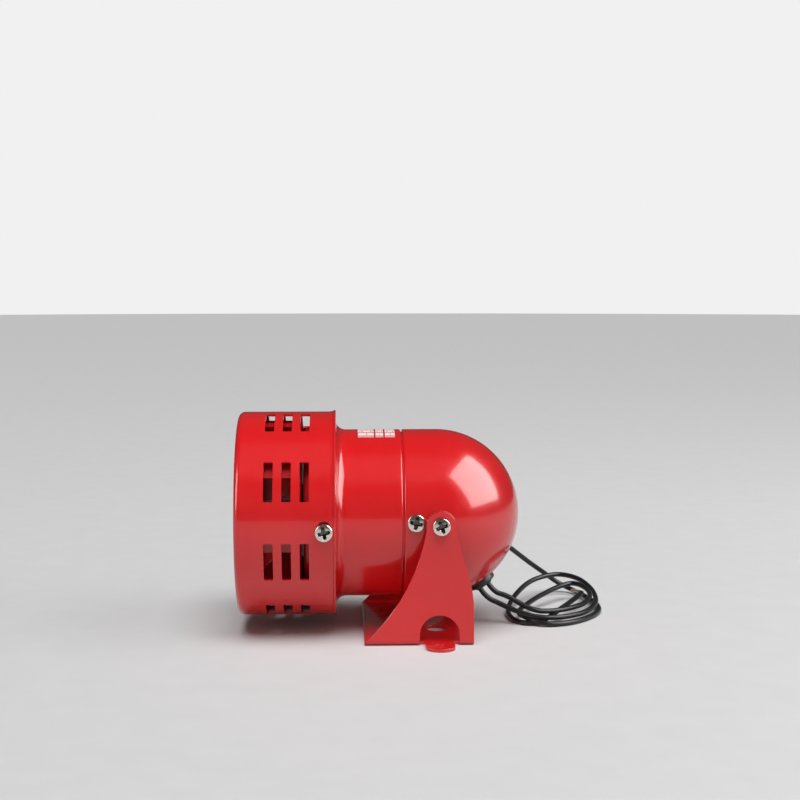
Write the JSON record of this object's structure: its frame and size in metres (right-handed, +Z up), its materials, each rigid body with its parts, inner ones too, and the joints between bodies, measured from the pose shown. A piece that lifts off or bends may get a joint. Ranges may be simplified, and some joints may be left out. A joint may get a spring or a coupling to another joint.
{
  "type": "alarm siren",
  "caption": "Motor-driven alarm siren: slotted drum with a spinning rotor, motor housing with a domed rear, and a U bracket that lets it tilt.",
  "frame": {"origin": "underside of the bracket base, straight below the tilt pivot and midway between the arms", "axes": "+Z up from the mounting surface; X along the siren's axis, with the open drum at -X and the closed dome at +X"},
  "size_m": [0.1718, 0.1256, 0.0986],
  "materials": {
    "red_paint": "gloss",
    "red_paint_rotor": "gloss",
    "red_paint_bracket": "gloss",
    "nickel_plate": "bright nickel plate",
    "zinc_plate": "zinc plated",
    "machined_steel": "ground",
    "die_cast": "as cast",
    "bronze": "sintered",
    "lamination_steel": "varnished laminations",
    "copper_wire": "enamelled wire",
    "commutator_copper": "turned copper",
    "carbon": "pressed carbon",
    "brass_sheet": "satin",
    "spring_steel": "drawn wire",
    "moulded_plastic": "moulded",
    "black_rubber": "satin",
    "spacer_nylon": "satin",
    "lead_insulation": "semi-gloss PVC",
    "tinned_copper": "tinned strands",
    "label_print": "printed film"
  },
  "bodies": {
    "bracket": {"mounting_bracket": "red_paint_bracket", "lead_a": "lead_insulation", "lead_b": "lead_insulation", "lead_coil": "lead_insulation", "lead_b_tail": "lead_insulation", "lead_a_tip": "tinned_copper", "lead_b_tip": "tinned_copper"},
    "head": {"stator_drum": "red_paint", "motor_mounting_plate": "red_paint", "motor_housing": "red_paint", "rear_dome": "red_paint", "mount_screws": "zinc_plate", "front_end_bell": "die_cast", "rear_end_bell": "die_cast", "front_bush": "bronze", "rear_bush": "bronze", "field_stack": "lamination_steel", "field_coils": "copper_wire", "carbon_brushes": "carbon", "brush_holders": "brass_sheet", "brush_springs": "spring_steel", "through_bolts": "zinc_plate", "terminal_block": "moulded_plastic", "suppression_capacitor": "moulded_plastic", "inner_leads": "lead_insulation", "drum_screws": "nickel_plate", "dome_screws": "nickel_plate", "dome_screw_nuts": "zinc_plate", "pivot_screws": "nickel_plate", "pivot_nuts": "zinc_plate", "pivot_spacers": "spacer_nylon", "cable_grommet": "black_rubber", "rating_label": "label_print"},
    "rotor": {"rotor": "red_paint_rotor", "rotor_hub": "machined_steel", "hub_rivets": "zinc_plate", "rotor_washer": "zinc_plate", "rotor_nut": "zinc_plate", "motor_shaft": "machined_steel", "armature_core": "lamination_steel", "armature_windings": "copper_wire", "commutator": "commutator_copper"}
  },
  "joints": [
    {"name": "head_tilt", "type": "hinge", "parent": "bracket", "child": "head", "pos_m": [0, 0, 0.052], "axis": [0, 1, 0], "range_deg": [-12, 90], "deforming": ["lead_a", "lead_b"]},
    {"name": "rotor_spin", "type": "hinge", "parent": "head", "child": "rotor", "pos_m": [-0.07, 0, 0.052], "axis": [1, 0, 0], "continuous": true}
  ]
}
